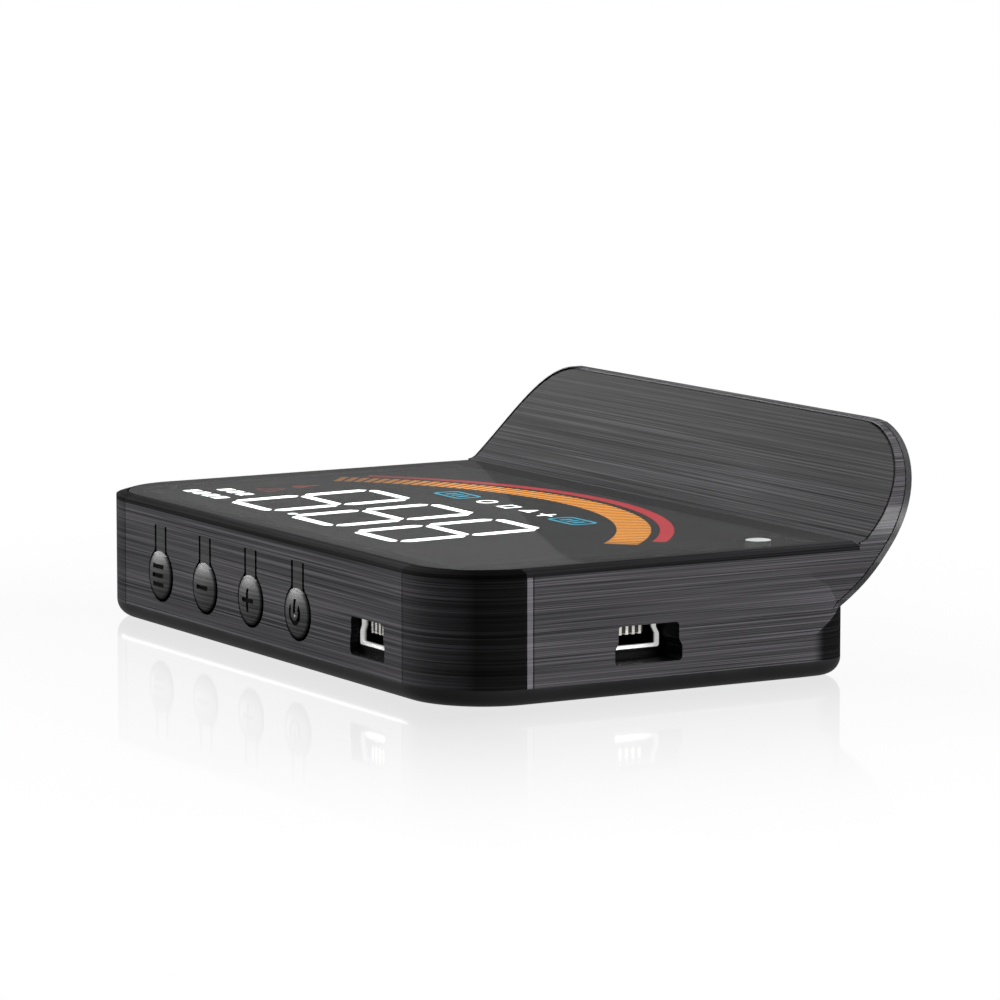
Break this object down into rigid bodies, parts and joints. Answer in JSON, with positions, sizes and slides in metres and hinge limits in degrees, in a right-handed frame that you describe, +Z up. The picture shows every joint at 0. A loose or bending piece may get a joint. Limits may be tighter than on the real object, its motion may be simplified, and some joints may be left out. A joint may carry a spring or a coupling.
{
  "type": "dashboard head-up display",
  "caption": "Flat dashboard head-up display with a smoked window, four push keys, two mini-USB sockets and a curved rear light shade.",
  "frame": {"origin": "centre of the case footprint on the ground, at the centre of the grip pad's underside", "axes": "+X towards the side with the large socket opening, +Y towards the rear light shade (the keys face -Y), +Z up"},
  "size_m": [0.09, 0.065, 0.0281],
  "materials": {
    "housing_brushed": "dark charcoal plastic with a fine lengthwise brushed texture",
    "facing_brushed": "dark charcoal brushed panel",
    "cover_brushed": "dark charcoal satin plastic",
    "tray_gloss": "smooth black plastic",
    "smoked_window": "smoked glossy acrylic",
    "diffuser_white": "white translucent plastic",
    "reflector_black": "matt black plastic",
    "key_plastic": "dark satin plastic",
    "plunger_plastic": "pale nylon",
    "switch_case": "stamped steel switch case",
    "socket_steel": "bright tinned steel",
    "socket_tongue": "black plastic",
    "contact_gold": "gold plated",
    "circuit_board": "green solder mask",
    "chip_black": "black moulded plastic",
    "capacitor_can": "satin can",
    "crystal_steel": "satin can",
    "ferrite": "dark ferrite",
    "screw_steel": "blackened steel",
    "pad_rubber": "soft grippy rubber",
    "lit_white": "white light area",
    "lit_orange": "orange light area",
    "lit_red": "red light area",
    "lit_teal": "teal light area"
  },
  "bodies": {
    "case": {"main_housing": "housing_brushed", "base_tray": "tray_gloss", "hood_facing": "facing_brushed", "hood_back_cover": "cover_brushed", "top_window": "smoked_window", "sensor_diffuser": "diffuser_white", "light_sensor": "chip_black", "display_reflector": "reflector_black", "digit_segments": "lit_white", "gauge_bars": "lit_orange", "gauge_redline": "lit_red", "teal_icons": "lit_teal", "white_icons": "lit_white", "red_icons": "lit_red", "display_board": "circuit_board", "display_driver": "chip_black", "display_screws": "screw_steel", "main_board": "circuit_board", "board_header": "chip_black", "board_socket": "chip_black", "header_pins": "contact_gold", "controller_chip": "chip_black", "power_inductor": "ferrite", "bulk_capacitors": "capacitor_can", "crystal_can": "crystal_steel", "buzzer": "chip_black", "board_screws": "screw_steel", "side_port_shell": "socket_steel", "side_port_tongue": "socket_tongue", "side_port_contacts": "contact_gold", "front_port_shell": "socket_steel", "front_port_tongue": "socket_tongue", "front_port_contacts": "contact_gold", "switch_bodies": "switch_case", "housing_screws": "screw_steel", "grip_pad": "pad_rubber"},
    "menu_button": {"menu_key": "key_plastic"},
    "menu_switch": {"menu_switch_plunger": "plunger_plastic"},
    "minus_button": {"minus_key": "key_plastic"},
    "minus_switch": {"minus_switch_plunger": "plunger_plastic"},
    "plus_button": {"plus_key": "key_plastic"},
    "plus_switch": {"plus_switch_plunger": "plunger_plastic"},
    "power_button": {"power_key": "key_plastic"},
    "power_switch": {"power_switch_plunger": "plunger_plastic"}
  },
  "joints": [
    {"name": "menu_press", "type": "hinge", "parent": "case", "child": "menu_button", "pos_m": [-0.025, -0.0257, 0.01285], "axis": [1, 0, 0], "range_deg": [0, 3]},
    {"name": "menu_switch_travel", "type": "slide", "parent": "case", "child": "menu_switch", "axis": [0, 1, 0], "range_m": [0, 0.00032]},
    {"name": "minus_press", "type": "hinge", "parent": "case", "child": "minus_button", "pos_m": [-0.01333, -0.0257, 0.01285], "axis": [1, 0, 0], "range_deg": [0, 3]},
    {"name": "minus_switch_travel", "type": "slide", "parent": "case", "child": "minus_switch", "axis": [0, 1, 0], "range_m": [0, 0.00032]},
    {"name": "plus_press", "type": "hinge", "parent": "case", "child": "plus_button", "pos_m": [-0.00166, -0.0257, 0.01285], "axis": [1, 0, 0], "range_deg": [0, 3]},
    {"name": "plus_switch_travel", "type": "slide", "parent": "case", "child": "plus_switch", "axis": [0, 1, 0], "range_m": [0, 0.00032]},
    {"name": "power_press", "type": "hinge", "parent": "case", "child": "power_button", "pos_m": [0.01001, -0.0257, 0.01285], "axis": [1, 0, 0], "range_deg": [0, 3]},
    {"name": "power_switch_travel", "type": "slide", "parent": "case", "child": "power_switch", "axis": [0, 1, 0], "range_m": [0, 0.00032]}
  ],
  "couplings": [
    {"joint": "menu_switch_travel", "follows": "menu_press", "m_per_rad": 0.006},
    {"joint": "minus_switch_travel", "follows": "minus_press", "m_per_rad": 0.006},
    {"joint": "plus_switch_travel", "follows": "plus_press", "m_per_rad": 0.006},
    {"joint": "power_switch_travel", "follows": "power_press", "m_per_rad": 0.006}
  ]
}
